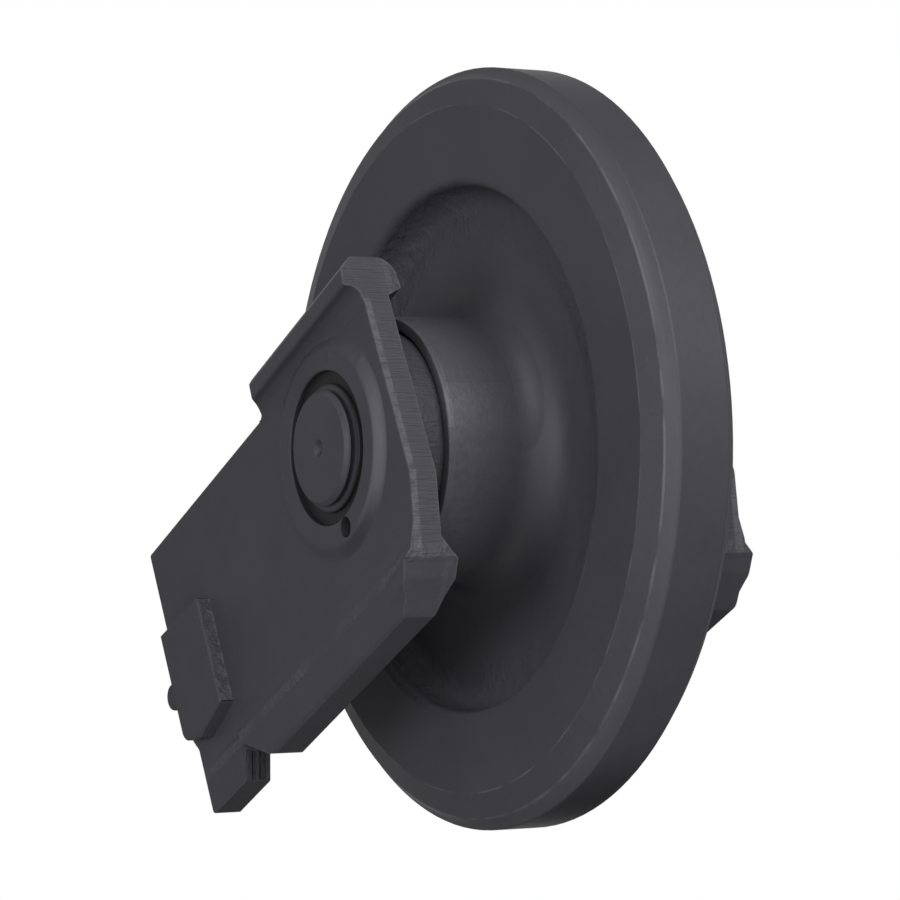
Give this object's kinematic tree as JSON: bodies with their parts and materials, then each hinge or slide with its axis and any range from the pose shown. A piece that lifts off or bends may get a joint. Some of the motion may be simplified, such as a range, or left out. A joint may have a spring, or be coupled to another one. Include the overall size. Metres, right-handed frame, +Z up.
{
  "type": "excavator front idler",
  "caption": "Front idler of a small excavator: a flat-treaded wheel turns on a fixed axle between forged guide brackets.",
  "frame": {"origin": "centre of the wheel on the axle line, midway between the brackets", "axes": "+X to the machine's front along the guide rails, +Y along the axle to the machine's left, +Z up, square to the rails"},
  "size_m": [0.4356, 0.2138, 0.4],
  "materials": {
    "wheel_paint": "matt dark blue-grey paint on a forged and turned wheel",
    "bracket_paint": "matt dark blue-grey paint on rough forgings",
    "axle_steel": "painted end faces on a ground steel axle",
    "bright_steel": "bare ground steel",
    "seal_iron": "lapped cast iron",
    "bronze": "turned bronze",
    "copper": "soft copper",
    "rubber": "black nitrile rubber"
  },
  "bodies": {
    "carrier": {"axle": "axle_steel", "lock_dowels": "bright_steel", "bracket_left": "bracket_paint", "bracket_right": "bracket_paint", "seal_ring_bracket_left": "seal_iron", "seal_ring_bracket_right": "seal_iron", "toric_bracket_left": "rubber", "toric_bracket_right": "rubber", "shaft_seal_left": "rubber", "shaft_seal_right": "rubber", "retaining_ring_left": "axle_steel", "retaining_ring_right": "axle_steel", "filler_plug_left": "bracket_paint", "filler_plug_right": "bracket_paint", "filler_washer_left": "copper", "filler_washer_right": "copper", "guide_pad_left": "bracket_paint", "guide_pad_right": "bracket_paint", "stop_pin_left": "bracket_paint", "stop_pin_right": "bracket_paint"},
    "wheel": {"idler_wheel": "wheel_paint", "bush_left": "bronze", "bush_right": "bronze", "seal_ring_hub_left": "seal_iron", "seal_ring_hub_right": "seal_iron", "toric_hub_left": "rubber", "toric_hub_right": "rubber"}
  },
  "joints": [
    {"name": "wheel_spin", "type": "hinge", "parent": "carrier", "child": "wheel", "pos_m": [0, 0, 0], "axis": [0, 1, 0], "continuous": true}
  ]
}
